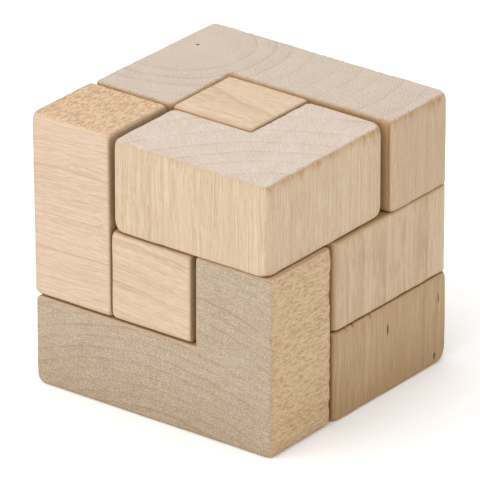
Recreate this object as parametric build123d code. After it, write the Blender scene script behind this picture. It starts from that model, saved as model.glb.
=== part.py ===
from build123d import *
from dataclasses import dataclass
import os

# A 3 x 3 x 3 packing puzzle: seven flat wooden blocks that fill a cube of 27 cells.
# Frame: X runs right along the front of the cube, Y runs back, and Z is up.
# The origin is the middle of the cube's footprint, on the table.

# Driving dimensions, millimetres
CELL = 20.0          # pitch of the grid that the blocks are cut to, seen from above
LEVELS = (0.0, 19.7, 39.55, 60.0)   # heights of the grid: the three layers are not quite alike
EDGE_RADIUS = 1.0    # moulded edges, which run along the grain
SAWN_RADIUS = 0.3    # eased edges round the two sawn faces

# Axis numbers of X, Y and Z
X, Y, Z = 0, 1, 2
AXES = (Axis.X, Axis.Y, Axis.Z)


@dataclass
class Block:
    """One solid block: an outline of cells in a plane, one cell thick along its grain.

    The last three values are X, Y, Z triples: the blocks are hand-made, and no two quite agree.
    """

    name: str
    grain: int      # the axis that the grain runs along, square to the outline
    cells: list     # column, row and layer of each cell, counted from 0
    ease: tuple     # how far each side stands inside its cell
    seat: tuple     # how far off its place in the grid the loose block sits
    tip_cut: tuple = (0, 0, 0)  # how much shorter the outline is at its free ends


BLOCKS = (
    Block("core_t_block", X, [(1, 0, 1), (1, 1, 0), (1, 1, 1), (1, 1, 2)],
          ease=(0.1, 0.2, 0.2), seat=(-0.2, -0.1, -0.2)),
    Block("left_z_block", X, [(0, 0, 2), (0, 0, 1), (0, 1, 1), (0, 1, 0)],
          ease=(0.0, 0.2, 0.1), seat=(-0.35, 0.0, -0.1)),
    Block("front_l_block", Y, [(0, 0, 0), (1, 0, 0), (2, 0, 0), (2, 0, 1)],
          ease=(0.45, 0.1, 0.1), seat=(0.55, 0.0, -0.1), tip_cut=(-0.6, 0, 0)),
    Block("bottom_back_l_block", Z, [(2, 1, 0), (2, 2, 0), (1, 2, 0), (0, 2, 0)],
          ease=(0.2, 0.2, 0.0), seat=(0.3, 0.2, 0.0)),
    Block("middle_back_l_block", Z, [(2, 1, 1), (2, 2, 1), (1, 2, 1), (0, 2, 1)],
          ease=(0.2, 0.2, 0.2), seat=(0.0, 0.1, 0.0), tip_cut=(0, 0.5, 0)),
    Block("top_back_l_block", Z, [(0, 1, 2), (0, 2, 2), (1, 2, 2), (2, 2, 2)],
          ease=(0.1, 0.3, 0.1), seat=(-0.2, -0.4, -0.1), tip_cut=(-0.4, 0.3, 0)),
    Block("top_front_v_block", Z, [(1, 0, 2), (2, 0, 2), (2, 1, 2)],
          ease=(0.5, 0.0, 0.35), seat=(-0.55, -0.15, -0.35), tip_cut=(0.5, 1.1, 0)),
)


def neighbours(cell, cells):
    """The cells of the same block that share a face with this one."""
    return [other for other in cells if sum(abs(a - b) for a, b in zip(cell, other)) == 1]


def grid_point(column, row, layer):
    """Where three lines of the grid cross."""
    return column * CELL, row * CELL, LEVELS[layer]


def cell_corners(block, cell):
    """Lowest and highest corner of the wood in one cell."""
    beyond = [index + 1 for index in cell]
    low = [line + ease for line, ease in zip(grid_point(*cell), block.ease)]
    high = [line - ease for line, ease in zip(grid_point(*beyond), block.ease)]
    beside = neighbours(cell, block.cells)
    if len(beside) == 1:
        cut_free_end(low, high, cell, beside[0], block.tip_cut)
    return low, high


def cut_free_end(low, high, cell, beside, tip_cut):
    """Shortens an end cell on the side that faces away from its one neighbour."""
    for axis in (X, Y, Z):
        if cell[axis] < beside[axis]:
            low[axis] += tip_cut[axis]
        if cell[axis] > beside[axis]:
            high[axis] -= tip_cut[axis]


def bar(block, cell, other):
    """The straight bar of wood from one cell to the next."""
    low_a, high_a = cell_corners(block, cell)
    low_b, high_b = cell_corners(block, other)
    low = [min(a, b) for a, b in zip(low_a, low_b)]
    high = [max(a, b) for a, b in zip(high_a, high_b)]
    size = [b - a for a, b in zip(low, high)]
    return Pos(*low) * Box(*size, align=(Align.MIN, Align.MIN, Align.MIN))


def is_outer_edge(edge, box, grain):
    """True of an edge along the grain that lies on a side of the block's box.

    The others are the inside corners of the outline, which are sawn sharp.
    """
    middle = tuple(edge @ 0.5)
    low, high = tuple(box.min), tuple(box.max)
    across = [axis for axis in (X, Y, Z) if axis != grain]
    return any(min(middle[axis] - low[axis], high[axis] - middle[axis]) < EDGE_RADIUS for axis in across)


def make_block(block):
    """The block at its place in the cube, with moulded long edges and eased sawn edges."""
    bars = [bar(block, cell, other)
            for cell in block.cells
            for other in neighbours(cell, block.cells)
            if other > cell]
    solid = Part() + bars
    box = solid.bounding_box()
    grain_axis = AXES[block.grain]
    moulded = [edge for edge in solid.edges().filter_by(grain_axis)
               if is_outer_edge(edge, box, block.grain)]
    solid = fillet(moulded, EDGE_RADIUS)
    faces = solid.faces().sort_by(grain_axis)
    solid = fillet(faces[0].edges() + faces[-1].edges(), SAWN_RADIUS)
    return Pos(*block.seat) * solid


def main():
    os.makedirs("parts", exist_ok=True)
    solids = [make_block(block) for block in BLOCKS]
    cube = Compound(solids).bounding_box()
    to_origin = Pos(-cube.center().X, -cube.center().Y, -cube.min.Z)
    for block, solid in zip(BLOCKS, solids):
        placed = to_origin * solid
        placed.label = block.name
        export_step(placed, f"parts/{block.name}.step")
    print("cube", cube.size)


main()
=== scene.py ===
import math

import bpy
import numpy as np
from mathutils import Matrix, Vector
from mathutils.bvhtree import BVHTree


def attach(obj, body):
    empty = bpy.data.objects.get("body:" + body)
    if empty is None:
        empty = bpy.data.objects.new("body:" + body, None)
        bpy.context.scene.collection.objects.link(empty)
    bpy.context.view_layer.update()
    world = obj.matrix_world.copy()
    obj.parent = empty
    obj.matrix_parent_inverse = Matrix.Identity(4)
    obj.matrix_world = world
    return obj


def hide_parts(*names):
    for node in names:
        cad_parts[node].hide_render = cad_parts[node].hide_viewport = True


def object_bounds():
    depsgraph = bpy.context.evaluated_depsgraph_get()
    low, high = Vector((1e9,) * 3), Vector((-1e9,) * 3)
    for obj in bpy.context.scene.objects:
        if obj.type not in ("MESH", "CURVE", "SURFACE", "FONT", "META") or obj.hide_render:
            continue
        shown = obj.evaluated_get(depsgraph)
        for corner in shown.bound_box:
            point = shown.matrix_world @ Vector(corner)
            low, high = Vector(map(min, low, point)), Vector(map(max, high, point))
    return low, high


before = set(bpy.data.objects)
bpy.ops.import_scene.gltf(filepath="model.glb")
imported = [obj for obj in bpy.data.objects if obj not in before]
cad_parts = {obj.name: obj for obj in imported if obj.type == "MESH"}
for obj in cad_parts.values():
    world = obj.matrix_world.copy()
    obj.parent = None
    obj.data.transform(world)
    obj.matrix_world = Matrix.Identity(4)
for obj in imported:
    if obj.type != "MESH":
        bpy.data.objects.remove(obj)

# A wooden packing cube of seven loose blocks. Every block is a flat outline of cells, one
# cell thick along its grain: the two sawn faces show end grain, and the long sides were moulded.
# Lengths are in millimetres in this script's own numbers and in metres in Blender.
CAD_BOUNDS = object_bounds()
MM = 0.001
X, Y, Z = 0, 1, 2
CLOSE = 1e-6            # lengths below this count as zero

# The mesh of a block
FLAT_AREA = 50.0        # a flat face is larger than this, in square millimetres, and an edge is smaller
EDGE_STEPS = (0.0, 0.08, 0.18, 0.3, 0.45, 0.65, 0.9, 1.2, 1.6)  # mesh lines beside each flat face
STEP = 0.4              # distance between mesh lines across the grain
GRAIN_STEP = 0.8        # distance between mesh lines along the grain

# The worn shape of the wood
MOULD_EXTRA = 0.35      # how much rounder a moulded edge gets in places
MOULD_LUMP = 9.0        # and how long such a place is
SAWN_RADIUS = 0.3       # least rounding of the sawn edges, as in the CAD model
SAWN_EXTRA = 0.25       # how much rounder a sound sawn edge gets in places
CORNER_BLEND = 0.8      # half width of the soft border of a corner's cut, as a share of the cut
CORNER_REACH = 6.0      # a corner's cut moves nothing that is farther from its tip
BLUNT_REACH = 2.0       # how near its tip the place of a blunt corner has to be
FOOT_HEIGHT = 6.0       # moulded edges are rounder up to here, and less so up to twice this height
SAWN_FOOT_HEIGHT = 3.0  # and sawn edges less and less so up to here
SAWN_FOOT_SHARE = 0.7   # how much of that rounding a sawn edge gets
SAWN_LUMP = 3.0         # length of a place where a sound sawn edge is rounder
CHIP_SIZES = (0.7, 2.6)  # sizes of the chips in a torn edge, and of the groups that they come in
CHIP_START = 0.2        # how high the noise has to be for a chip
CHIP_GAIN = 2.4         # how fast a chip reaches its full depth above that
TORN_IN = (0.15, 0.45)  # how far a torn edge is worn across the grain, and how much farther in a chip
TORN_ALONG = (0.2, 1.2)  # and the same along the grain, where fibres tear farther
WAVE_DEPTH = 0.07       # how far the faces sink in their hollows
WAVE_REACH = 1.5        # how deep in the wood the hollows fade out
WAVES = ((0.6, 9.0), (0.4, 2.5))  # shares and sizes of the large hollows and the small ones
LEAN_REACH = 8.0        # how deep in the wood the lean of a face fades out
BROWN_IN = 0.4          # how far from a sawn edge its browning reaches on the sawn face
BROWN_ALONG = 0.5       # and on the long sides, and how much farther where the edge is torn
SLANT = 0.7             # how far an edge between two faces faces out on each of their two axes
SKIN = 2.0              # a point nearer to a side of the cube than this can be seen on that side


def look(body, slot, seed, grain, pith, **rest):
    """The finish of one block, with the values that most of the blocks share filled in."""
    values = {
        "body": body,
        "slot": slot,
        "seed": seed,
        # How the wood grew
        "grain": grain,
        "pith": pith,               # middle of the growth rings, on the two axes across the grain
        "tilt": (0.0, 0.0),         # how far the grain leans on those axes
        "rings": None,              # where each ring ends and how dark it is, or None for even rings
        "ring_gap": None,           # width of an even ring
        "ring_build": 0.2,          # how dark the wood gets before the line that ends a ring
        "ring_end": 0.30,           # how strongly the rings show on end grain
        "ring_side": 0.25,          # and on the long sides
        # Colours and marks
        "end": (0.512, 0.424, 0.336),
        "side": (0.571, 0.429, 0.303),
        "rough": None,              # colour of the long sides that were left rough
        "fuzzy": (),                # which sides those are: (axis, sign)
        "fuzz_axis": grain,         # the way their torn tufts lie
        "fuzz_depth": 0.0,          # how strongly the tufts show
        "speckle": 1.8,             # how strongly the end grain is speckled
        "saw": 0.0,                 # how strongly saw marks show on the end grain
        "fibre": 1.3,               # how strongly the fibres show on the long sides
        "band": 0.3,                # and wider bands of them
        "edge": 0.3,                # how brown the sawn edges are
        "foot": 0.0,                # how dark the wood is where it stands on the table
        "flecks": (),               # dark flecks: (middle, half sizes), each on X, Y and Z
        # Wear
        "mould": 1.0,               # least radius of the moulded edges
        "foot_round": 0.0,          # how much rounder the edges are that stand on the table
        "rub": 0.55,                # how deep the corners are rubbed off, along their diagonals
        "blunt": (),                # corners rubbed deeper still: (place, how much)
        "torn": (),                 # torn sawn edges: (sign of the sawn face, axis, sign, how much)
        "inset": (),                # leaning faces: (axis, sign, axis along, depth low on it, depth high)
    }
    values.update(rest)
    return values


LOOKS = {
    "core_t_block": look(
        "core", "core_t_wood", 11, X, (-29.0, -45.0), tilt=(0.03, -0.09),
        ring_gap=3.3, ring_build=0.5, ring_side=0.45, fibre=1.2, band=0.6, edge=0.15),
    "left_z_block": look(
        "left", "left_z_wood", 23, X, (-22.0, -62.5), tilt=(0.0, 0.043),
        rings=((70.0, 0.6), (79.0, 0.8), (88.7, 0.5), (94.8, 0.6), (102.3, 1.0), (112.7, 0.8)),
        ring_build=0.1, ring_side=0.5, side=(0.571, 0.426, 0.312), fibre=1.1,
        rough=(0.524, 0.361, 0.225), fuzzy=((Z, 1),), fuzz_axis=Y, fuzz_depth=1.0,
        inset=((X, 1, Z, 0.05, 0.5), (X, -1, Z, 0.7, 0.0))),
    "front_l_block": look(
        "front", "front_l_wood", 37, Y, (2.0, -60.0),
        ring_gap=2.4, ring_end=1.0, end=(0.415, 0.324, 0.239), speckle=5.6, saw=0.9, edge=0.1, foot=0.3,
        rough=(0.497, 0.35, 0.207), fuzzy=((X, 1),), fuzz_depth=0.4,
        mould=0.65, foot_round=0.8, rub=0.35, torn=((-1, X, 1, 0.5), (1, X, 1, 0.8))),
    "bottom_back_l_block": look(
        "bottom_back", "bottom_back_l_wood", 41, Z, (-30.0, 80.0),
        ring_gap=6.0, end=(0.40, 0.285, 0.175), side=(0.419, 0.288, 0.168), band=0.8, edge=0.5, foot=0.5,
        flecks=(((30.0, 9.2, 14.2), (1.0, 0.42, 1.8)), ((30.0, 26.6, 14.8), (1.0, 0.25, 1.6)),
                ((30.0, 25.4, 2.2), (1.0, 0.45, 1.2)), ((30.0, -5.0, 19.4), (1.0, 0.3, 0.9)),
                ((30.0, 3.2, 19.4), (1.0, 0.35, 0.8)), ((30.0, -2.6, 19.5), (1.0, 0.5, 0.5))),
        mould=1.6, foot_round=0.6, blunt=(((30.2, 30.0, 0.0), 0.9), ((30.2, 30.0, 19.7), 0.3)),
        torn=((1, X, 1, 0.4),), inset=((Y, -1, Z, 0.45, 0.45),)),
    "middle_back_l_block": look(
        "middle_back", "middle_back_l_wood", 53, Z, (25.0, -60.0),
        rings=((51.0, 0.8), (56.5, 0.6), (61.5, 0.8), (69.0, 1.0), (75.6, 0.8), (83.3, 0.9)),
        ring_build=0.9, ring_side=0.5, end=(0.47, 0.35, 0.23), side=(0.524, 0.392, 0.266),
        band=0.5, edge=0.5, mould=1.6, torn=((1, X, 1, 0.2),), inset=((Y, -1, Z, 0.5, 0.5),)),
    "top_back_l_block": look(
        "top_back", "top_back_l_wood", 67, Z, (-27.0, 17.0),
        rings=((10.9, 0.3), (14.4, 0.9), (18.3, 1.0), (21.7, 0.9), (26.5, 0.4), (33.4, 0.5),
               (38.4, 0.6), (43.0, 0.5), (48.5, 0.7), (54.3, 0.6)),
        ring_end=0.8, ring_side=0.1, end=(0.507, 0.419, 0.344), side=(0.486, 0.357, 0.242),
        speckle=5.4, fibre=0.8, flecks=(((-24.5, 17.5, 59.8), (0.5, 0.5, 1.0)),),
        blunt=(((30.2, 29.4, 59.8), 0.4),),
        torn=((1, X, 1, 1.0), (1, Y, 1, 0.5), (1, X, -1, 0.5), (1, Y, -1, 0.6)),
        inset=((X, -1, Y, 0.0, 1.0), (Y, 1, X, 0.3, 0.1))),
    "top_front_v_block": look(
        "top_front", "top_front_v_wood", 79, Z, (45.0, -54.0),
        rings=((29.5, 0.7), (36.0, 0.9), (41.8, 0.7), (46.4, 1.0), (51.2, 0.9), (57.2, 0.8),
               (64.4, 1.0), (71.0, 0.8)),
        ring_end=0.6, end=(0.556, 0.462, 0.388), side=(0.543, 0.414, 0.285), speckle=2.9, mould=1.15,
        blunt=(((-9.4, -30.1, 39.5), 0.45), ((29.0, -30.1, 39.5), 0.3), ((-9.4, -30.1, 59.3), 0.2),
               ((29.0, 8.8, 39.5), 0.6), ((29.0, 8.8, 59.3), 0.6)),
        torn=((1, X, 1, 1.0), (1, X, -1, 0.3))),
}


# ---------------------------------------------------------------- mesh of a sharp block

def flat_offsets(mesh, axis):
    """Where the block's flat faces across one axis lie, lowest first."""
    areas = {}
    for face in mesh.polygons:
        if abs(face.normal[axis]) > 0.9999:
            offset = round(face.center[axis] / MM, 2)
            areas[offset] = areas.get(offset, 0.0) + face.area / MM**2
    return sorted(offset for offset, area in areas.items() if area > FLAT_AREA)


def fine_lines(offsets, step):
    """Mesh lines between the flat faces, closer together beside each, and which lines the faces are."""
    lines = [offsets[0]]
    marks = [0]
    for low, high in zip(offsets, offsets[1:]):
        near = [s for s in EDGE_STEPS if s < (high - low) / 3]
        count = max(1, round((high - low - 2 * near[-1]) / step))
        lines += [low + s for s in near[1:]]
        lines += list(np.linspace(low + near[-1], high - near[-1], count + 1)[1:])
        lines += [high - s for s in reversed(near[:-1])]
        marks.append(len(lines) - 1)
    return np.array(lines), marks


def filled_cells(mesh, offsets):
    """Which boxes between the flat faces are wood."""
    tree = BVHTree.FromPolygons([v.co for v in mesh.vertices], [p.vertices for p in mesh.polygons])
    shape = [len(o) - 1 for o in offsets]
    filled = np.zeros(shape, bool)
    for index in np.ndindex(*shape):
        middle = Vector([(o[i] + o[i + 1]) / 2 * MM for o, i in zip(offsets, index)])
        place, normal, _, _ = tree.find_nearest(middle)
        filled[index] = (middle - place).dot(normal) < 0
    return filled


def bare_sides(filled):
    """The sides of the filled cells that no filled cell touches: (cell, axis, sign)."""
    for index in np.argwhere(filled):
        for axis in range(filled.ndim):
            for sign in (-1, 1):
                beside = index.copy()
                beside[axis] += sign
                if not (0 <= beside[axis] < filled.shape[axis] and filled[tuple(beside)]):
                    yield index, axis, sign


def surface_quads(filled, marks, counts):
    """The quads of the wood's surface, as codes of their mesh line numbers."""
    weights = np.array([1, counts[0], counts[0] * counts[1]])
    patches = []
    for index, axis, sign in bare_sides(filled):
        b, c = (axis + 1) % 3, (axis + 2) % 3
        plane = marks[axis][index[axis] + (sign > 0)]
        rows = np.arange(marks[b][index[b]], marks[b][index[b] + 1])
        columns = np.arange(marks[c][index[c]], marks[c][index[c] + 1])
        row, column = np.meshgrid(rows, columns, indexing="ij")
        first = plane * weights[axis] + row * weights[b] + column * weights[c]
        loop = [first, first + weights[b], first + weights[b] + weights[c], first + weights[c]]
        if sign < 0:
            loop.reverse()
        patches.append(np.stack([corner.ravel() for corner in loop], axis=1))
    return np.concatenate(patches)


# ---------------------------------------------------------------- wear, and the masks of the painted shade in the gaps

def lattice(cell, seed):
    """A random number from 0 to 1 for each lattice point, the same every time."""
    # The large numbers only scatter the bits
    h = cell.astype(np.int64) @ np.array([374761393, 668265263, 2147483647]) + seed * 974634777
    h = (h ^ (h >> 13)) * 1274126177 & 0xFFFFFFFF
    h = (h ^ (h >> 16)) * 2246822519 & 0xFFFFFFFF
    return ((h ^ (h >> 15)) & 0xFFFFFF) / 0xFFFFFF


def noise(points, size, seed):
    """Smooth noise from 0 to 1 in space, with features of about the given size (one, or one per axis)."""
    scaled = points / np.array(size, float)
    cell = np.floor(scaled).astype(np.int64)
    part = scaled - cell
    part = part * part * (3 - 2 * part)
    total = np.zeros(len(points))
    for corner in np.ndindex(2, 2, 2):
        weight = np.prod(np.where(corner, part, 1 - part), axis=1)
        total += weight * lattice(cell + np.array(corner), seed)
    return total


def outline_walls(outline, offsets):
    """The outline's straight walls: (axis, offset, outward sign, lowest, highest) on its two axes."""
    walls = []
    for index, axis, sign in bare_sides(outline):
        along = 1 - axis
        walls.append((axis, offsets[axis][index[axis] + (sign > 0)], sign,
                      offsets[along][index[along]], offsets[along][index[along] + 1]))
    return walls


def outline_corners(outline, offsets):
    """The outline's outer corners: (place, the two signs that lead into the wood)."""
    corners = []
    padded = np.pad(outline, 1)
    for i, a in enumerate(offsets[0]):
        for j, b in enumerate(offsets[1]):
            around = [(da, db) for da in (0, 1) for db in (0, 1) if padded[i + da, j + db]]
            if len(around) == 1:
                corners.append(((a, b), tuple(2 * d - 1 for d in around[0])))
    return corners


def nearest_wall(flat, walls):
    """Distance to the outline from each point, the way outward there, and which wall it is."""
    best = np.full(len(flat), np.inf)
    outward = np.zeros_like(flat)
    which = np.zeros(len(flat), int)
    for number, (axis, offset, sign, low, high) in enumerate(walls):
        gap = np.zeros_like(flat)
        gap[:, axis] = offset - flat[:, axis]
        along = flat[:, 1 - axis]
        gap[:, 1 - axis] = np.clip(along, low, high) - along
        distance = np.hypot(gap[:, 0], gap[:, 1])
        direction = np.zeros_like(flat)
        direction[:, axis] = sign
        off_wall = np.abs(gap[:, 1 - axis]) > CLOSE
        direction[off_wall] = gap[off_wall] / distance[off_wall, None]
        closer = distance < best - CLOSE
        best[closer] = distance[closer]
        outward[closer] = direction[closer]
        which[closer] = number
    return best, outward, which


def round_outline(flat, corners, radius):
    """Rounds the outline's outer corners. Also says which points moved, how deep, and the way outward."""
    moved = np.full(len(flat), False)
    depth = np.zeros(len(flat))
    outward = np.zeros_like(flat)
    flat = flat.copy()
    for place, inward in corners:
        into = (flat - np.array(place)) * np.array(inward)
        near = (into[:, 0] < radius) & (into[:, 1] < radius) & (into.min(axis=1) > -CLOSE)
        r = radius[near]
        u = 1 - into[near, 0] / r
        v = 1 - into[near, 1] / r
        disc = np.stack([u * np.sqrt(1 - v * v / 2), v * np.sqrt(1 - u * u / 2)], axis=1)
        flat[near] = np.array(place) + np.array(inward) * r[:, None] * (1 - disc)
        length = np.hypot(disc[:, 0], disc[:, 1])
        depth[near] = r * (1 - length)
        outward[near] = -np.array(inward) * disc / np.maximum(length, CLOSE)[:, None]
        moved |= near
    return flat, moved, depth, outward


def torn_amounts(wall, cap_sign, walls, across, finish):
    """How torn the sawn edge is that each point belongs to."""
    torn = np.zeros(len(wall))
    for sign, axis, wall_sign, amount in finish["torn"]:
        plane = across.index(axis)
        chosen = [n for n, w in enumerate(walls) if w[0] == plane and w[2] == wall_sign]
        torn[np.isin(wall, chosen) & (cap_sign == sign)] = amount
    return torn


def sawn_reach(edge, torn, low_edge, finish):
    """How far a sawn edge is worn across the grain and along it, and how much of a torn one is chipped."""
    seed = finish["seed"]
    small, large = CHIP_SIZES
    ragged = noise(edge, (small, small, 1.0), seed + 1) * noise(edge, (large, large, 1.0), seed + 2)
    chip = np.clip((ragged - CHIP_START) * CHIP_GAIN, 0, 1)
    sound = SAWN_RADIUS + SAWN_EXTRA * noise(edge, (SAWN_LUMP, SAWN_LUMP, 1.0), seed + 3)
    sound += finish["foot_round"] * SAWN_FOOT_SHARE * low_edge
    reach_in = sound + torn * (TORN_IN[0] + chip * TORN_IN[1])
    reach_along = sound + torn * (TORN_ALONG[0] + chip * TORN_ALONG[1])
    return reach_in, reach_along, chip


def round_sawn_edges(depth, from_cap, on_edge, is_cap, reach_in, reach_along):
    """How far the points beside the sawn edges move, inward and along the grain."""
    shift_in = np.zeros(len(depth))
    shift_along = np.zeros(len(depth))
    side = on_edge & (from_cap < reach_along)
    v = 1 - from_cap[side] / reach_along[side]
    shift_in[side] = reach_in[side] * (1 - np.sqrt(1 - v * v / 2))
    shift_along[side] = reach_along[side] * (1 - v / math.sqrt(2)) - from_cap[side]
    top = is_cap & (depth < reach_in)
    v = 1 - depth[top] / reach_in[top]
    shift_along[top] = reach_along[top] * (1 - np.sqrt(1 - v * v / 2))
    shift_in[top] = reach_in[top] * (1 - v / math.sqrt(2)) - depth[top]
    return shift_in, shift_along


def rub_corners(shaped, corners, caps, across, finish):
    """Cuts every corner off across its diagonal, with a soft border, and blunt corners deeper."""
    for number, (place, inward) in enumerate(corners):
        for cap, plane in zip((-1, 1), caps):
            tip = np.zeros(3)
            tip[across] = place
            tip[finish["grain"]] = plane
            normal = np.zeros(3)
            normal[across] = -np.array(inward)
            normal[finish["grain"]] = cap
            normal /= math.sqrt(3)
            cut = finish["rub"] * (0.7 + 0.6 * lattice(np.array([number, cap, 3]), finish["seed"]))
            cut += sum(more for spot, more in finish["blunt"] if math.dist(tip, spot) < BLUNT_REACH)
            blend = CORNER_BLEND * cut
            past = (shaped - tip) @ normal + cut
            past[np.abs(shaped - tip).max(axis=1) > CORNER_REACH] = -blend
            push = np.where(past > blend, past, np.clip(past + blend, 0, None) ** 2 / (4 * blend))
            shaped -= push[:, None] * normal


def lean_in(shaped, points, insets, offsets):
    """Moves whole faces inward, by a depth that changes evenly along them."""
    for axis, sign, along, low_depth, high_depth in insets:
        face = offsets[axis][-1] if sign > 0 else offsets[axis][0]
        part = (points[:, along] - offsets[along][0]) / (offsets[along][-1] - offsets[along][0])
        weight = np.clip(1 - np.abs(points[:, axis] - face) / LEAN_REACH, 0, 1)
        shaped[:, axis] -= sign * weight * (low_depth + (high_depth - low_depth) * part)


def rough_amount(outward, on_edge, across, finish):
    """How far each point is on a long side that was left rough."""
    fuzz = np.zeros(len(outward))
    for axis, sign in finish["fuzzy"]:
        facing = outward[:, across.index(axis)] * sign
        fuzz = np.maximum(fuzz, np.where(on_edge, np.clip(facing * 2 - 0.9, 0, 1), 0))
    return fuzz


def gap_shade_masks(points, facing_out):
    """Masks of the painted shade in the gaps between blocks: how far each point lies hidden in the cube,
    on a face inside it (gap shade), and on an edge that leads to one (seam shade).
    """
    low, high = (np.array(corner) / MM for corner in CAD_BOUNDS)
    outer = np.zeros(len(points))
    for axis in (X, Y, Z):
        for sign, plane in ((-1, low[axis]), (1, high[axis])):
            toward_side = np.clip(facing_out[:, axis] * sign, 0, 1)
            outer += np.where(np.abs(points[:, axis] - plane) < SKIN, toward_side ** 2, 0)
    below = np.minimum(points - low, high - points).min(axis=1)
    turned_in = np.clip(1 - outer, 0, 1)
    gap_shade = turned_in * np.interp(below, (0.15, 1.0), (0.0, 1.0))
    # Painted shade on the rounded edges that lead into a gap, darkened the way occlusion would darken them
    seam_shade = turned_in * np.interp(below, (0.05, 0.4), (0.0, 1.0))
    seam_shade *= np.interp(outer, (0.0, 0.1), (0.0, 1.0))
    return gap_shade, seam_shade


def shape_block(points, finish, filled, offsets):
    """Turns the sharp block into a worn one: the new points, and the values that the finish reads, among
    them the masks of the painted shade in the gaps.
    """
    grain = finish["grain"]
    seed = finish["seed"]
    across = [axis for axis in (X, Y, Z) if axis != grain]
    outline = filled.any(axis=grain)
    cross_offsets = [offsets[axis] for axis in across]
    walls = outline_walls(outline, cross_offsets)
    corners = outline_corners(outline, cross_offsets)
    caps = (offsets[grain][0], offsets[grain][-1])
    height = points[:, grain]
    from_cap = np.minimum(height - caps[0], caps[1] - height)
    cap_sign = np.where(caps[1] - height < height - caps[0], 1, -1)
    is_cap = from_cap < CLOSE

    # Moulded edges
    flat = points[:, across]
    depth, outward, wall = nearest_wall(flat, walls)
    on_edge = depth < CLOSE
    radius = finish["mould"] + MOULD_EXTRA * noise(points, MOULD_LUMP, seed)
    if grain != Z:
        radius += finish["foot_round"] * np.clip(2 - points[:, Z] / FOOT_HEIGHT, 0, 1)
    flat, moved, corner_depth, corner_outward = round_outline(flat, corners, radius)
    depth[moved] = corner_depth[moved]
    outward[moved] = corner_outward[moved]
    depth[on_edge] = 0.0

    # Sawn edges, rounded and in places torn
    edge = np.zeros_like(points)
    edge[:, :2] = flat + outward * depth[:, None]
    edge[:, 2] = np.where(cap_sign > 0, 40.0, 0.0)  # so that the noise differs between the two sawn faces
    torn = torn_amounts(wall, cap_sign, walls, across, finish)
    if grain == Z:
        low_edge = cap_sign < 0
    else:
        low_edge = np.clip(1 - edge[:, across.index(Z)] / SAWN_FOOT_HEIGHT, 0, 1)
    reach_in, reach_along, chip = sawn_reach(edge, torn, low_edge, finish)
    shift_in, shift_along = round_sawn_edges(depth, from_cap, on_edge, is_cap, reach_in, reach_along)

    # Hollows in the faces
    (large_share, large), (small_share, small) = WAVES
    wave = large_share * noise(points, large, seed + 4) + small_share * noise(points, small, seed + 5)
    shift_in += WAVE_DEPTH * wave * np.exp(-depth / WAVE_REACH)
    shift_along += WAVE_DEPTH * wave * np.exp(-from_cap / WAVE_REACH)

    shaped = np.zeros_like(points)
    shaped[:, across] = flat - outward * shift_in[:, None]
    shaped[:, grain] = height - cap_sign * shift_along
    rub_corners(shaped, corners, caps, across, finish)
    lean_in(shaped, points, finish["inset"], offsets)

    brown_along = BROWN_ALONG + BROWN_ALONG * torn + torn * chip
    near_sawn = np.exp(-(np.where(is_cap, depth / BROWN_IN, from_cap / brown_along)) ** 2)
    # Masks of the painted shade: faces inside the cube, and the edges leading to them
    facing_out = np.zeros_like(points)
    facing_out[:, across] = outward * np.where(is_cap, np.where(on_edge, SLANT, 0.0), 1.0)[:, None]
    facing_out[:, grain] = np.where(is_cap, cap_sign * np.where(on_edge, SLANT, 1.0), 0.0)
    gap_shade, seam_shade = gap_shade_masks(points, facing_out)
    values = {
        "end_grain": np.where(is_cap, np.where(on_edge, 0.5, 1.0), 0.0),
        "sawn_edge": near_sawn,
        "torn": near_sawn * torn * (0.35 + 0.65 * chip),
        "fuzz": rough_amount(outward, on_edge, across, finish),
        "gap_shade": gap_shade,
        "seam_shade": seam_shade,
    }
    return shaped, values


def make_block(name, finish):
    """The detailed block that stands for one CAD node."""
    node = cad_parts[name]
    offsets = [flat_offsets(node.data, axis) for axis in (X, Y, Z)]
    steps = [GRAIN_STEP if axis == finish["grain"] else STEP for axis in (X, Y, Z)]
    lines, marks = zip(*(fine_lines(o, s) for o, s in zip(offsets, steps)))
    filled = filled_cells(node.data, offsets)
    counts = [len(line) for line in lines]
    codes, corners = np.unique(surface_quads(filled, marks, counts), return_inverse=True)
    quads = corners.reshape(-1, 4)
    numbers = [codes % counts[0], codes // counts[0] % counts[1], codes // (counts[0] * counts[1])]
    points = np.stack([line[n] for line, n in zip(lines, numbers)], axis=1)
    shaped, values = shape_block(points, finish, filled, offsets)
    mesh = bpy.data.meshes.new(name + "_wood")
    mesh.from_pydata(shaped * MM, [], quads)
    mesh.update()
    mesh.shade_smooth()
    for value_name, value in values.items():
        attribute = mesh.attributes.new(value_name, "FLOAT", "POINT")
        attribute.data.foreach_set("value", value.astype(np.float32))
    piece = bpy.data.objects.new(name.replace("_block", "_wood_block"), mesh)
    bpy.context.scene.collection.objects.link(piece)
    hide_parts(name)
    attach(piece, finish["body"])
    return piece


# ---------------------------------------------------------------- finish, with painted shade in the gaps between blocks

# Noise with that many features per millimetre across the grain and along it, its detail and its roughness
FIBRE_NOISE = (4.3, 0.03, 1.0, 0.6)
FINE_NOISE = (5.0, 0.5, 1.0, 0.7)
BAND_NOISE = (0.6, 0.012, 2.0, 0.5)
STRAND_NOISE = (2.6, 0.3, 2.0, 0.7)
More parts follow.
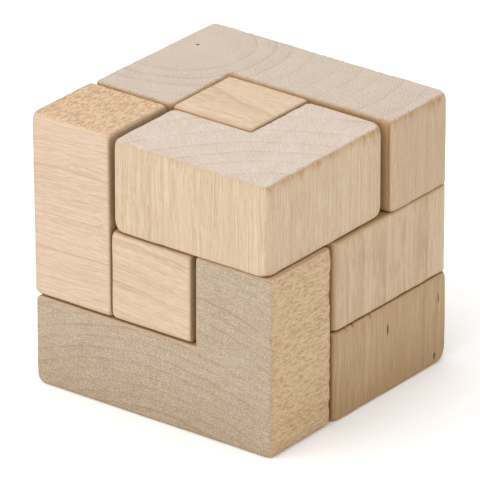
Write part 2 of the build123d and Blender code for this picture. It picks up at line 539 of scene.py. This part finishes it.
# Soft patches: their shift, which keeps them apart, features per millimetre and detail
LATE_PATCHES = ((7.0, 19.0, 3.0), 0.16, 1.0)
END_PATCHES = ((31.0, 17.0, 5.0), 0.22, 2.0)
SPECKLE_SCALE = 4.2             # speckles per millimetre
RAY_SCALES = (120.0, 0.4, 0.7)  # features of the rays per radian, per millimetre of radius and of height
SAW_SCALES = (0.2, 1.0, 2.2)    # features of the saw marks per millimetre on X, Y and Z
TUFT_SCALES = (0.75, 2.9)       # torn tufts per millimetre along them and across them
FINE_AMOUNT = 0.8               # how strongly each of these shows in the tone of the wood
RAY_AMOUNT = 0.5
PATCH_AMOUNT = 0.35
ROUGH_SPECKLE = 1.2
TUFT_AMOUNT = (1.2, 1.6)        # on every rough side, and more where the tufts are deep
GASH_AMOUNT = 0.8
TONE_SPREAD = 0.25              # how far the darkest and the lightest wood are from the colour given
TONE_WARMTH = (0.8, 1.0, 1.25)  # that spread's share on red, green and blue, so that dark wood is warmer
SEED_SHIFT = (7.3, 3.1, 5.7)    # the bending noise's shift from block to block, for each step of the seed
BEND = 1.8                      # how far the grain bends, in millimetres
BEND_SCALE = 0.06               # bends per millimetre
RING_BEFORE = 0.45              # a ring's line starts that far before its end, in millimetres
RING_AFTER = 0.25               # and is gone that far after it
EVEN_START = 0.6                # an even ring's line starts that far before its end
EVEN_DARKEST = 0.25             # and is darkest that far before it
RING_MARGIN = 6.0               # how far the curve of the rings goes on past the first and the last line
FLECK_CORE = 0.45               # how far out a fleck stays dark, as a share of its size
FOOT_FADE = 14.0                # height at which the dark of the foot ends
FOOT_TINT = (0.66, 0.55, 0.42)
# painted shade on the faces inside the cube, which darkens the gaps between the blocks
GAP_SHADE_TINT = (0.87, 0.74, 0.55)
# painted shade on the rounded edges that lead into a gap between blocks
SEAM_SHADE_TINT = (0.64, 0.49, 0.32)
FLECK_BROWN = (0.09, 0.055, 0.03)
TORN_ORANGE = (0.36, 0.19, 0.07)
SAWN_BROWN = (0.42, 0.26, 0.12)
SHEEN = 0.15                    # specular level of the outer faces
FINE_RELIEF = 0.6               # shares of the relief
FIBRE_RELIEF = 0.5
SPECKLE_RELIEF = 0.8
TUFT_RELIEF = 5.0
BUMP_HEIGHT = 0.06              # height of the relief, in millimetres
BUMP_STRENGTH = 0.6


class Nodes:
    """Builds one material's node tree from short calls. Arguments are sockets or plain numbers."""

    def __init__(self, material):
        material.use_nodes = True
        self.tree = material.node_tree
        self.shader = self.tree.nodes["Principled BSDF"]

    def put(self, socket, value):
        if isinstance(value, bpy.types.NodeSocket):
            self.tree.links.new(value, socket)
        elif value is not None:
            socket.default_value = value

    def node(self, kind, **settings):
        node = self.tree.nodes.new(kind)
        for key, value in settings.items():
            setattr(node, key, value)
        return node

    def math(self, operation, a, b=None, c=None, clamp=False):
        node = self.node("ShaderNodeMath", operation=operation, use_clamp=clamp)
        for socket, value in zip(node.inputs, (a, b, c)):
            self.put(socket, value)
        return node.outputs[0]

    def vector(self, operation, a, b=None, out="Vector"):
        node = self.node("ShaderNodeVectorMath", operation=operation)
        self.put(node.inputs[0], a)
        self.put(node.inputs[1], b)
        return node.outputs[out]

    def scaled(self, a, factor):
        node = self.node("ShaderNodeVectorMath", operation="SCALE")
        self.put(node.inputs[0], a)
        node.inputs["Scale"].default_value = factor
        return node.outputs["Vector"]

    def combine(self, x, y, z):
        node = self.node("ShaderNodeCombineXYZ")
        for socket, value in zip(node.inputs, (x, y, z)):
            self.put(socket, value)
        return node.outputs[0]

    def noise(self, vector, detail, roughness=0.5, out="Fac"):
        node = self.node("ShaderNodeTexNoise")
        self.put(node.inputs["Vector"], vector)
        node.inputs["Scale"].default_value = 1.0
        node.inputs["Detail"].default_value = detail
        node.inputs["Roughness"].default_value = roughness
        return node.outputs[out]

    def attribute(self, name):
        return self.node("ShaderNodeAttribute", attribute_name=name).outputs["Fac"]

    def ramp(self, value, *stops):
        """A curve through (place, height) points, with heights from 0 to 1."""
        node = self.node("ShaderNodeValToRGB")
        elements = node.color_ramp.elements
        while len(elements) < len(stops):
            elements.new(0.5)
        for element, (place, height) in zip(elements, stops):
            element.position = place
            element.color = (height, height, height, 1.0)
        self.put(node.inputs["Fac"], value)
        return node.outputs["Color"]

    def mix(self, factor, a, b, blend="MIX"):
        node = self.node("ShaderNodeMix", data_type="RGBA", blend_type=blend)
        self.put(node.inputs["Factor"], factor)
        self.put(node.inputs["A"], colour(a))
        self.put(node.inputs["B"], colour(b))
        return node.outputs["Result"]

    def add(self, total, value, amount):
        """Adds noise to a tone, where 0.5 leaves the tone as it is."""
        return self.math("ADD", total, self.math("MULTIPLY_ADD", value, amount, -0.5 * amount))


def colour(value):
    """An RGB triple as a colour; anything else as it is."""
    return (*value, 1.0) if isinstance(value, tuple) and len(value) == 3 else value


def unit(axis, lean=0.0, lean_axis=0):
    """A direction along one axis, leaning back along another."""
    direction = [0.0, 0.0, 0.0]
    direction[lean_axis] = -lean
    direction[axis] = 1.0
    return tuple(direction)


class Wood(Nodes):
    """One block's wood as it grew: rings round a pith, fibres along the grain and rays across it."""

    def __init__(self, material, finish):
        super().__init__(material)
        self.finish = finish
        first, second = [axis for axis in (X, Y, Z) if axis != finish["grain"]]
        self.place = self.scaled(self.node("ShaderNodeTexCoord").outputs["Object"], 1 / MM)
        shifted = self.vector("ADD", self.place, tuple(finish["seed"] * step for step in SEED_SHIFT))
        slow = self.noise(self.scaled(shifted, BEND_SCALE), 1.0, out="Color")
        bend = self.scaled(self.vector("SUBTRACT", slow, (0.5, 0.5, 0.5)), BEND)
        bent = self.vector("ADD", self.place, bend)
        self.u = self.from_pith(bent, first, 0)
        self.v = self.from_pith(bent, second, 1)
        self.w = self.vector("DOT_PRODUCT", self.place, unit(finish["grain"]), "Value")
        squares = [self.math("MULTIPLY", side, side) for side in (self.u, self.v)]
        self.radius = self.math("SQRT", self.math("ADD", *squares))
        strength = self.ramp(self.patches(*LATE_PATCHES), (0.3, 0.35), (0.6, 1.0))
        self.late = self.math("MULTIPLY", self.ring_lines(), strength)
        self.fibre = self.stretched(*FIBRE_NOISE)
        self.fine = self.stretched(*FINE_NOISE)
        self.speckle = self.noise(self.scaled(self.place, SPECKLE_SCALE), 1.0, 0.8)

    def from_pith(self, bent, axis, number):
        """How far from the pith a place is on one of the two axes across the grain."""
        lean = unit(axis, self.finish["tilt"][number], self.finish["grain"])
        return self.math("SUBTRACT", self.vector("DOT_PRODUCT", bent, lean, "Value"),
                         self.finish["pith"][number])

    def stretched(self, across, along, detail, roughness):
        """Noise with that many features per millimetre across the grain and along it."""
        where = self.combine(self.math("MULTIPLY", self.u, across), self.math("MULTIPLY", self.v, across),
                             self.math("MULTIPLY", self.w, along))
        return self.noise(where, detail, roughness)

    def patches(self, shift, scale, detail):
        """Large soft patches. The shift keeps one use of them apart from another."""
        return self.noise(self.scaled(self.vector("ADD", self.place, shift), scale), detail)

    def ring_lines(self):
        """How dark the growth ring is: it builds up to a thin line, then starts again."""
        return self.even_rings() if self.finish["rings"] is None else self.listed_rings()

    def even_rings(self):
        """Rings of one width, each as dark as its own random number says."""
        gap = self.finish["ring_gap"]
        number = self.math("DIVIDE", self.radius, gap)
        line = self.ramp(self.math("FRACT", number), (0.0, 0.0),
                         (1 - EVEN_START / gap, self.finish["ring_build"]),
                         (1 - EVEN_DARKEST / gap, 1.0), (1.0, 0.3))
        each = self.node("ShaderNodeTexWhiteNoise", noise_dimensions="1D")
        self.put(each.inputs["W"], self.math("FLOOR", number))
        return self.math("MULTIPLY", line, self.math("MULTIPLY_ADD", each.outputs["Value"], 0.8, 0.2))

    def listed_rings(self):
        """Rings that end where the finish says, each as dark as it says."""
        rings = self.finish["rings"]
        low, high = rings[0][0] - RING_MARGIN, rings[-1][0] + RING_MARGIN
        stops = [(low, 0.0)]
        for end, dark in rings:
            stops.append((end - RING_BEFORE, self.finish["ring_build"] * dark))
            stops += [(end, dark), (end + RING_AFTER, 0.0)]
        part = self.math("DIVIDE", self.math("SUBTRACT", self.radius, low), high - low, clamp=True)
        return self.ramp(part, *(((stop - low) / (high - low), height) for stop, height in stops))

    def toned(self, tone, base):
        """Wood of about that colour: its darkest where the tone is 0, and its lightest where it is 1."""
        dark = tuple(c * (1 - TONE_SPREAD * w) for c, w in zip(base, TONE_WARMTH))
        light = tuple(c * (1 + TONE_SPREAD * w) for c, w in zip(base, TONE_WARMTH))
        return self.mix(self.math("ADD", tone, 0.0, clamp=True), dark, light)

    def long_side(self):
        """The moulded sides along the grain: rings, fibres and bands of them."""
        tone = self.math("MULTIPLY_ADD", self.late, -self.finish["ring_side"], 0.5)
        tone = self.add(tone, self.fibre, self.finish["fibre"])
        tone = self.add(tone, self.fine, FINE_AMOUNT)
        tone = self.add(tone, self.stretched(*BAND_NOISE), self.finish["band"])
        return self.toned(tone, self.finish["side"])

    def sawn_face(self):
        """End grain: rings, speckles of the pores, rays from the pith, patches and saw marks."""
        turn = self.math("ARCTAN2", self.v, self.u)
        around = (self.math("MULTIPLY", part, scale)
                  for part, scale in zip((turn, self.radius, self.w), RAY_SCALES))
        ray = self.noise(self.combine(*around), 1.0)
        tone = self.math("MULTIPLY_ADD", self.late, -self.finish["ring_end"], 0.5)
        tone = self.add(tone, self.speckle, self.finish["speckle"])
        tone = self.add(tone, ray, RAY_AMOUNT)
        tone = self.add(tone, self.patches(*END_PATCHES), PATCH_AMOUNT)
        if self.finish["saw"]:
            marks = self.noise(self.vector("MULTIPLY", self.place, SAW_SCALES), 1.0)
            tone = self.add(tone, marks, self.finish["saw"])
        return self.toned(tone, self.finish["end"])

    def rough_side(self):
        """A long side with torn tufts and gashes between them: its colour, and the tufts."""
        depth = self.finish["fuzz_depth"]
        scales = tuple(TUFT_SCALES[axis != self.finish["fuzz_axis"]] for axis in (X, Y, Z))
        tuft = self.noise(self.vector("MULTIPLY", self.place, scales), 1.0, 0.7)
        tone = self.math("MULTIPLY", self.speckle, ROUGH_SPECKLE)
        tone = self.add(tone, tuft, TUFT_AMOUNT[0] + TUFT_AMOUNT[1] * depth)
        gash = self.ramp(tuft, (0.34, 1.0), (0.43, 0.0))
        tone = self.math("MULTIPLY_ADD", gash, -GASH_AMOUNT * depth, tone)
        return self.toned(tone, self.finish["rough"]), tuft

    def darker_foot(self, wood):
        """The wood darkened toward the table it stands on."""
        level = self.vector("DOT_PRODUCT", self.place, unit(Z), "Value")
        near = self.ramp(self.math("DIVIDE", level, FOOT_FADE, clamp=True), (0.0, 1.0), (1.0, 0.0))
        return self.mix(self.math("MULTIPLY", near, self.finish["foot"]), wood, FOOT_TINT, "MULTIPLY")

    def flecked(self, wood):
        """The wood with its dark flecks."""
        for middle, half_sizes in self.finish["flecks"]:
            reach = self.vector("DIVIDE", self.vector("SUBTRACT", self.place, middle), half_sizes)
            spot = self.ramp(self.vector("LENGTH", reach, out="Value"), (FLECK_CORE, 1.0), (1.0, 0.0))
            wood = self.mix(spot, wood, FLECK_BROWN)
        return wood

    def edged(self, wood):
        """The wood with its sawn edges: browned, and orange from the wood beneath where they are torn."""
        strand = self.ramp(self.stretched(*STRAND_NOISE), (0.38, 0.1), (0.56, 1.0))
        wood = self.mix(self.math("MULTIPLY", self.attribute("torn"), strand), wood, TORN_ORANGE)
        browned = self.math("MULTIPLY", self.attribute("sawn_edge"), self.finish["edge"])
        return self.mix(browned, wood, SAWN_BROWN)


def wood_material(name, finish):
    """The material of one block's wood."""
    material = bpy.data.materials.new(name)
    n = Wood(material, finish)
    end_grain = n.attribute("end_grain")
    wood = n.mix(end_grain, n.long_side(), n.sawn_face())
    fine, fibre = n.math("MULTIPLY", n.fine, FINE_RELIEF), n.math("MULTIPLY", n.fibre, FIBRE_RELIEF)
    pores = n.math("MULTIPLY", n.math("MULTIPLY", end_grain, n.speckle), SPECKLE_RELIEF)
    height = n.math("ADD", n.math("ADD", fine, fibre), pores)
    if finish["fuzzy"]:
        fuzz = n.attribute("fuzz")
        rough, tuft = n.rough_side()
        wood = n.mix(fuzz, wood, rough)
        tufts = n.math("MULTIPLY", n.math("MULTIPLY", fuzz, tuft), TUFT_RELIEF)
        height = n.math("ADD", height, tufts)
    if finish["foot"]:
        wood = n.darker_foot(wood)
    wood = n.flecked(wood)
    # Painted shade: the faces inside the cube are darkened so that the gaps between blocks look shaded,
    # and they lose their sheen
    gap_shade = n.attribute("gap_shade")
    wood = n.mix(gap_shade, wood, GAP_SHADE_TINT, "MULTIPLY")
    # Painted shade on the rounded edges that lead into the gaps
    wood = n.mix(n.attribute("seam_shade"), wood, SEAM_SHADE_TINT, "MULTIPLY")
    n.put(n.shader.inputs["Base Color"], n.edged(wood))
    n.put(n.shader.inputs["Roughness"], n.math("MULTIPLY_ADD", n.fibre, -0.2, 0.78))
    n.put(n.shader.inputs["Specular IOR Level"], n.math("MULTIPLY_ADD", gap_shade, -SHEEN, SHEEN, clamp=True))
    bump = n.node("ShaderNodeBump")
    bump.inputs["Strength"].default_value = BUMP_STRENGTH
    bump.inputs["Distance"].default_value = BUMP_HEIGHT * MM
    n.put(bump.inputs["Height"], height)
    n.put(n.shader.inputs["Normal"], bump.outputs["Normal"])
    return material


# ---------------------------------------------------------------- studio
# Lengths are in metres here, and angles in degrees. An azimuth of 0 is in front, and of 90 to the right.

CAMERA_AZIMUTH = 37.272
CAMERA_ELEVATION = 24.698
CAMERA_DISTANCE = 1.599
CAMERA_TARGET = (0.00002, -0.00045, 0.02922)
CAMERA_LENS = 592.05            # focal length in millimetres, on a sensor 36 mm wide
LAMP_AZIMUTH = -25.0
LAMP_ELEVATION = 50.0
LAMP_DISTANCE = 1.0
LAMP_TARGET = (0.0, 0.0, 0.03)  # the middle of the cube
LAMP_SIZE = 1.2
LAMP_POWER = 5.45
SKY_STRENGTH = 1.065
FLOOR_HALF = 3.0
FLOOR_COLOUR = (0.96, 0.96, 0.96)


def toward(azimuth, elevation):
    """The direction from the cube to something at that azimuth and elevation."""
    a, e = math.radians(azimuth), math.radians(elevation)
    return Vector((math.sin(a) * math.cos(e), -math.cos(a) * math.cos(e), math.sin(e)))


def aim(obj, direction, distance, target):
    """Puts obj that way and that far from the target, pointing its -Z at it."""
    obj.location = Vector(target) + direction * distance
    obj.rotation_euler = (-direction).to_track_quat("-Z", "Y").to_euler()


def add_camera():
    camera = bpy.data.objects.new("camera", bpy.data.cameras.new("camera"))
    camera.data.lens = CAMERA_LENS
    camera.data.sensor_width = 36.0
    bpy.context.scene.collection.objects.link(camera)
    aim(camera, toward(CAMERA_AZIMUTH, CAMERA_ELEVATION), CAMERA_DISTANCE, CAMERA_TARGET)
    bpy.context.scene.camera = camera


def add_lamp():
    lamp = bpy.data.objects.new("key", bpy.data.lights.new("key", "AREA"))
    lamp.data.size = LAMP_SIZE
    lamp.data.energy = LAMP_POWER
    bpy.context.scene.collection.objects.link(lamp)
    aim(lamp, toward(LAMP_AZIMUTH, LAMP_ELEVATION), LAMP_DISTANCE, LAMP_TARGET)


def add_floor():
    mesh = bpy.data.meshes.new("floor")
    corners = [(x * FLOOR_HALF, y * FLOOR_HALF, 0) for x, y in ((-1, -1), (1, -1), (1, 1), (-1, 1))]
    mesh.from_pydata(corners, [], [(0, 1, 2, 3)])
    floor = bpy.data.objects.new("floor", mesh)
    bpy.context.scene.collection.objects.link(floor)
    material = bpy.data.materials.new("floor_paint")
    material.use_nodes = True
    shader = material.node_tree.nodes["Principled BSDF"]
    shader.inputs["Base Color"].default_value = colour(FLOOR_COLOUR)
    shader.inputs["Roughness"].default_value = 0.9
    mesh.materials.append(material)


def add_world():
    world = bpy.data.worlds.new("studio")
    world.use_nodes = True
    background = world.node_tree.nodes["Background"]
    background.inputs["Color"].default_value = (1.0, 1.0, 1.0, 1.0)
    background.inputs["Strength"].default_value = SKY_STRENGTH
    bpy.context.scene.world = world


for block_name, block_finish in LOOKS.items():
    block = make_block(block_name, block_finish)
    block.data.materials.append(wood_material(block_finish["slot"], block_finish))
add_floor()
add_world()
add_lamp()
add_camera()
bpy.context.scene.view_settings.view_transform = "Standard"
